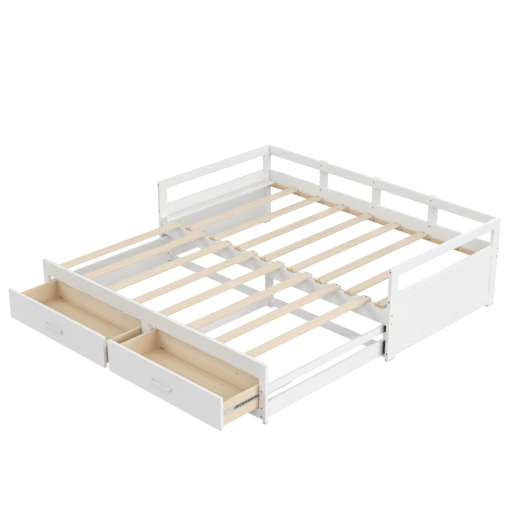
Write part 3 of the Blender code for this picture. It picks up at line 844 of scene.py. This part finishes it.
slat_screws = []
for name in pullout_slats:
    top = corners(name)[1][Z]
    slat_screws.append((near(middle(name)[X], middle("pullout_rear_frame")[Y], top), UP))
group_of("pullout_slat_screws", screw_head, slat_screws, "pullout_unit", black_oxide)

# %% [markdown]
# The ledger is screwed to the lower back rail between the slats, so that a driver could reach it. It has one
# screw just beside each slat but the last, and they stray along it a little more than the slat screws do.

# %% Ledger screws
LEDGER_SCREW_STEP = 0.055
LEDGER_JITTER = 0.004
ledger_face = corners("slat_ledger")[0][Y]
ledger_screws = []
for name in fixed_slats[:-1]:
    x = middle(name)[X] + LEDGER_SCREW_STEP + screw_pick.uniform(-1, 1) * LEDGER_JITTER
    ledger_screws.append(((x, ledger_face, middle("slat_ledger")[Z]), FORWARD))
group_of("ledger_screws", screw_head, ledger_screws, "fixed_unit", black_oxide)

# %% [markdown]
# Inside a drawer, two screws near each back corner tie its back to its sides, just above the bottom.

# %% Drawer screws
BOX_SCREW_STEPS = (0.031, 0.049)
BOX_SCREW_RISE = 0.0085
for side in ("left", "right"):
    box_low, box_high = corners(f"{side}_drawer_box")
    floor_top = corners(f"{side}_drawer_bottom")[1][Z]
    back_face = box_high[Y] - BACK_WALL
    box_screws = []
    for step in BOX_SCREW_STEPS:
        for x in (box_low[X] + BACK_WALL + step, box_high[X] - BACK_WALL - step):
            box_screws.append(((x, back_face, floor_top + BOX_SCREW_RISE), FORWARD))
    group_of(f"{side}_drawer_back_screws", screw_head, box_screws, f"{side}_drawer", black_oxide)

# %% [markdown]
# ## Slide details
# A ball-bearing slide shows three small things beside its folded steel: the screws that hold the runner to
# the drawer, the rows of balls that it rolls on, and the grey cage that spaces them. The balls are what a
# buyer looks for, so they are real spheres in a row and not a bump. These first ones stay in the channel.


# %% Balls in the channels
CHANNEL_BALLS = 9
BALL_R = 0.0016
BALL_PITCH = 0.0085
FIRST_BALL = 0.006
CHANNEL_SHEET = 0.0015


def ball(shape, centre, radius, flat=1.0):
    """One ball; flat under 1 squeezes it along X."""
    made = bmesh.ops.create_uvsphere(shape, u_segments=14, v_segments=9, radius=radius)["verts"]
    bmesh.ops.scale(shape, vec=(flat, 1.0, 1.0), verts=made)
    bmesh.ops.translate(shape, vec=centre, verts=made)


ball_steel = drawn_zinc("ball_steel")


def ball_row(name, channel, runner, body):
    """Two rows of balls, above and below the runner, just inside the channel's front end."""
    low, high = corners(channel)
    run_low, run_high = corners(runner)
    x = (run_low[X] + run_high[X]) / 2
    shape = bmesh.new()
    gap_above = (run_high[Z] + high[Z] - CHANNEL_SHEET) / 2
    gap_below = (run_low[Z] + low[Z] + CHANNEL_SHEET) / 2
    for z in (gap_above, gap_below):
        for k in range(CHANNEL_BALLS):
            ball(shape, (x, low[Y] + FIRST_BALL + k * BALL_PITCH, z), BALL_R)
    piece = finish_shape(shape, name, ball_steel, ROUND_ANGLE)
    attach(piece, body)


print("balls in a channel:", 2 * CHANNEL_BALLS)

# %% [markdown]
# The corner plates and the cages are both flat stampings. Each is a block with rounded edges, because a
# knife-sharp edge never catches the light and looks drawn.


# %% Blocks with rounded edges
BLOCK_EDGE = 0.0003


def rounded_block(shape, low, high):
    """A box between two corners, with its edges rounded."""
    low, high = Vector(low), Vector(high)
    made = bmesh.ops.create_cube(shape, size=1.0)["verts"]
    bmesh.ops.scale(shape, vec=high - low, verts=made)
    bmesh.ops.translate(shape, vec=(low + high) / 2, verts=made)
    edges = list(dict.fromkeys(edge for vert in made for edge in vert.link_edges))
    bmesh.ops.bevel(shape, geom=edges, offset=BLOCK_EDGE, segments=2, profile=0.5, affect="EDGES")


print("block edges rounded by", BLOCK_EDGE * 1000, "mm")

# %% [markdown]
# A cage strip lies in the rear part of each runner, which is what still shows of it when the drawer is open.
# Its balls stand in two rows and are squeezed flat, as only a cap of each comes through its window.


# %% Cages and their balls
CAGE_SHARE = 0.72
CAGE_HALF = 0.0080
CAGE_LIFT = 0.0017
CAGE_T = 0.0010
WINDOW_PITCH = 0.0210
WINDOW_ROW = 0.0055
CAP_R = 0.0030
CAP_FLAT = 0.55
CAP_LIFT = 0.0001
cage_grey = oxide("cage_grey", (0.085, 0.085, 0.088, 1.0), (0.26, 0.26, 0.265, 1.0), 0.42, 0.3)


def runner_cage(name, runner, out, body):
    """The grey strip that lies in the rear part of a runner, with a row of balls along each edge."""
    low, high = corners(runner)
    box_face = low[X] if out > 0 else high[X]
    z_mid = (low[Z] + high[Z]) / 2
    y_start = high[Y] - CAGE_SHARE * (high[Y] - low[Y])
    x_pair = sorted((box_face + out * CAGE_LIFT, box_face + out * (CAGE_LIFT + CAGE_T)))
    strip = bmesh.new()
    strip_low = (x_pair[0], y_start, z_mid - CAGE_HALF)
    strip_high = (x_pair[1], high[Y], z_mid + CAGE_HALF)
    rounded_block(strip, strip_low, strip_high)
    piece = finish_shape(strip, name + "_cage", cage_grey)
    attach(piece, body)
    balls = bmesh.new()
    count = int((high[Y] - y_start) / WINDOW_PITCH)
    for k in range(count):
        for z in (z_mid - WINDOW_ROW, z_mid + WINDOW_ROW):
            centre = (box_face + out * (CAGE_LIFT + CAP_LIFT), y_start + (k + 0.5) * WINDOW_PITCH, z)
            ball(balls, centre, CAP_R, CAP_FLAT)
    piece = finish_shape(balls, name + "_cage_balls", ball_steel, ROUND_ANGLE)
    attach(piece, body)


print("cage strip is", 2 * CAGE_HALF * 1000, "mm tall")

# %% [markdown]
# Each drawer has an outer and an inner slide, whose steel looks away from the drawer's box. The balls in the
# channel stay with the pull-out unit, while the cage and the runner's screws go with the drawer.

# %% Fit out the four slides
RUNNER_SCREW_DEPTH = 0.0015
RUNNER_SCREW_SHARES = (0.2, 0.4)
for side in ("left", "right"):
    away = 1 if side == "right" else -1
    runner_screws = []
    for place, out in (("outer", away), ("inner", -away)):
        runner = f"{side}_{place}_runner"
        low, high = corners(runner)
        ball_row(f"{side}_{place}_slide_balls", f"{side}_{place}_channel", runner, "pullout_unit")
        face = low[X] + RUNNER_SCREW_DEPTH if out > 0 else high[X] - RUNNER_SCREW_DEPTH
        runner_cage(f"{side}_{place}", runner, out, f"{side}_drawer")
        for share in RUNNER_SCREW_SHARES:
            y = low[Y] + share * (high[Y] - low[Y])
            runner_screws.append(((face, y, (low[Z] + high[Z]) / 2), (out, 0, 0)))
    group_of(f"{side}_runner_screws", screw_head, runner_screws, f"{side}_drawer", zinc)

# %% [markdown]
# ## Corner plates
# Bent steel plates tie the side rails to the posts of the rear frame. They are coated dark brown, which also
# paints the deep shade of the gap where each rail passes inside the end panel. The lower ones show a brass
# screw near each end. Two rounded blocks that share a corner make the bent plate.

# %% Corner plates
PLATE_T = 0.0015
PLATE_LEG = 0.018
PLATE_REACH = 0.016
PLATE_MARGIN = 0.003
PLATE_SCREW_INSET = 0.008
# The plates' dark brown coat is partly painted shade: it also stands for the deep shadow in the gap between
# each side rail and the end panel.
brown_coat_and_gap_shade = oxide("brown_plate_coat_and_gap_shade", (0.060, 0.042, 0.030, 1.0), (0.14, 0.10, 0.07, 1.0), 0.45, 0.0)
brass = oxide("screw_brass", (0.62, 0.33, 0.09, 1.0), (0.80, 0.52, 0.22, 1.0), 0.34, 0.6)
plates = bmesh.new()
brass_screws = []
post_face = corners("pullout_rear_frame")[0][Y]
for side, out in (("left", -1), ("right", 1)):
    for level in ("upper", "lower"):
        low, high = corners(f"pullout_{side}_{level}_rail")
        rail_x = high[X] if out > 0 else low[X]
        z_low, z_high = low[Z] + PLATE_MARGIN, high[Z] - PLATE_MARGIN
        on_rail = sorted((rail_x, rail_x + out * PLATE_T))
        on_post = sorted((rail_x, rail_x + out * PLATE_REACH))
        rounded_block(plates, (on_rail[0], high[Y] - PLATE_LEG, z_low), (on_rail[1], high[Y], z_high))
        rounded_block(plates, (on_post[0], post_face - PLATE_T, z_low), (on_post[1], post_face, z_high))
        if level == "lower":
            for z in (z_low + PLATE_SCREW_INSET, z_high - PLATE_SCREW_INSET):
                place = (rail_x + out * PLATE_T, high[Y] - PLATE_LEG / 2, z)
                brass_screws.append((place, (out, 0, 0)))
piece = finish_shape(plates, "rear_corner_plates", brown_coat_and_gap_shade)
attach(piece, "pullout_unit")
group_of("plate_screws", screw_head, brass_screws, "pullout_unit", brass)

# %% [markdown]
# ## Floor
# The bed stands on a white studio floor that is lit until it burns out to plain white. A floor under such
# light would also flood the bed from below, so here the floor glows by itself, and light linking keeps its
# glow off everything but the floor. The light that it would really send up is set on its own, further down.


# %% Floor
FLOOR_SIZE = 90.0
FLOOR_GAP = 0.0005
FLOOR_GLOW = 0.94


def floor_finish():
    cove = Finish("white_cove", roughness=0.9)
    cloud = cove.span(cove.noise(cove.place, 0.6, 2.0), 0.3, 0.7, 0.0, 1.0)
    cove.shader.inputs["Emission Color"].default_value = (1.0, 1.0, 1.0, 1.0)
    cove.shader.inputs["Emission Strength"].default_value = FLOOR_GLOW
    cove.shader.inputs["Specular IOR Level"].default_value = 0.0
    return cove.close(cove.blend(cloud, (0.12, 0.12, 0.12, 1.0), (0.14, 0.14, 0.14, 1.0)))


floor_shape = bmesh.new()
bmesh.ops.create_grid(floor_shape, x_segments=2, y_segments=2, size=FLOOR_SIZE / 2)
floor = finish_shape(floor_shape, "floor", floor_finish())
floor.location.z = cad_box[0][Z] - FLOOR_GAP
lit_by_glow = bpy.data.collections.new("lit_by_floor_glow")
lit_by_glow.objects.link(floor)
floor.light_linking.receiver_collection = lit_by_glow
print("floor at", round(floor.location.z, 4))

# %% [markdown]
# ## Lights
# White furniture needs soft light from several sides: each face then has its own even tone, and the edges
# between two faces show because the tones differ. The strongest box stands to the right, and the key and the
# front box light the faces that look forward. Those behind and to the left keep the far faces white, and a
# weak one overhead adds a little to the tops. A wide panel at floor level sends light up, as a white cove
# does; the camera doesn't see it.


# %% Lights
def softbox(name, place, aim, width, height, power):
    lamp = bpy.data.lights.new(name, "AREA")
    lamp.shape = "RECTANGLE"
    lamp.size = width
    lamp.size_y = height
    lamp.energy = power
    holder = bpy.data.objects.new(name, lamp)
    bpy.context.scene.collection.objects.link(holder)
    holder.location = place
    holder.rotation_euler = (Vector(aim) - Vector(place)).to_track_quat("-Z", "Y").to_euler()
    return holder


softbox("overhead_softbox", (0.0, 0.2, 4.8), (0, 0, 0.3), 5.0, 5.0, 14)
softbox("right_softbox", (10.0, 1.0, 4.2), (0, 0, 0.3), 5.8, 4.3, 540)
softbox("front_softbox", (-4.6, -9.0, 5.0), (0, -0.4, 0.2), 5.0, 3.4, 260)
softbox("key_softbox", (4.7, -6.3, 7.4), (0, -0.4, 0.2), 4.2, 4.2, 275)
glow = softbox("cove_bounce", (0.0, 0.0, -0.0003), (0.0, 0.0, 1.0), 8.0, 8.0, 100)
glow.visible_camera = False
softbox("back_softbox", (-2.0, 10.2, 4.6), (0, 0.2, 0.2), 6.0, 3.6, 300)
softbox("left_softbox", (-10.4, -0.5, 4.0), (0, 0, 0.3), 5.8, 3.6, 240)

# %% [markdown]
# The studio's walls fill what the boxes leave, at rather less than half strength so that shade still shows in
# corners. The Standard view keeps the whites clean, where a film-like view would grey them.

# %% Surroundings
SURROUND_STRENGTH = 0.458
world = bpy.data.worlds.new("studio")
world.use_nodes = True
surround = world.node_tree.nodes["Background"]
surround.inputs["Color"].default_value = (1.0, 1.0, 1.0, 1.0)
surround.inputs["Strength"].default_value = SURROUND_STRENGTH
bpy.context.scene.world = world
bpy.context.scene.view_settings.view_transform = "Standard"
print("surroundings at", SURROUND_STRENGTH)

# %% [markdown]
# ## Camera
# A long lens from a little above the right front corner keeps the boards' edges nearly parallel and shows
# both drawers, the slats and the inside of the back.

# %% Camera
CAMERA_PLACE = (4.753, -4.801, 3.423)
CAMERA_TURN = 44.47
CAMERA_TILT = 24.22
SENSOR_WIDTH = 36.0
LENS = 84.82
camera_data = bpy.data.cameras.new("camera")
camera_data.sensor_width = SENSOR_WIDTH
camera_data.lens = LENS
camera = bpy.data.objects.new("camera", camera_data)
bpy.context.scene.collection.objects.link(camera)
camera.location = CAMERA_PLACE
camera.rotation_euler = (math.radians(90 - CAMERA_TILT), 0, math.radians(CAMERA_TURN))
bpy.context.scene.camera = camera
print("camera at", CAMERA_PLACE)
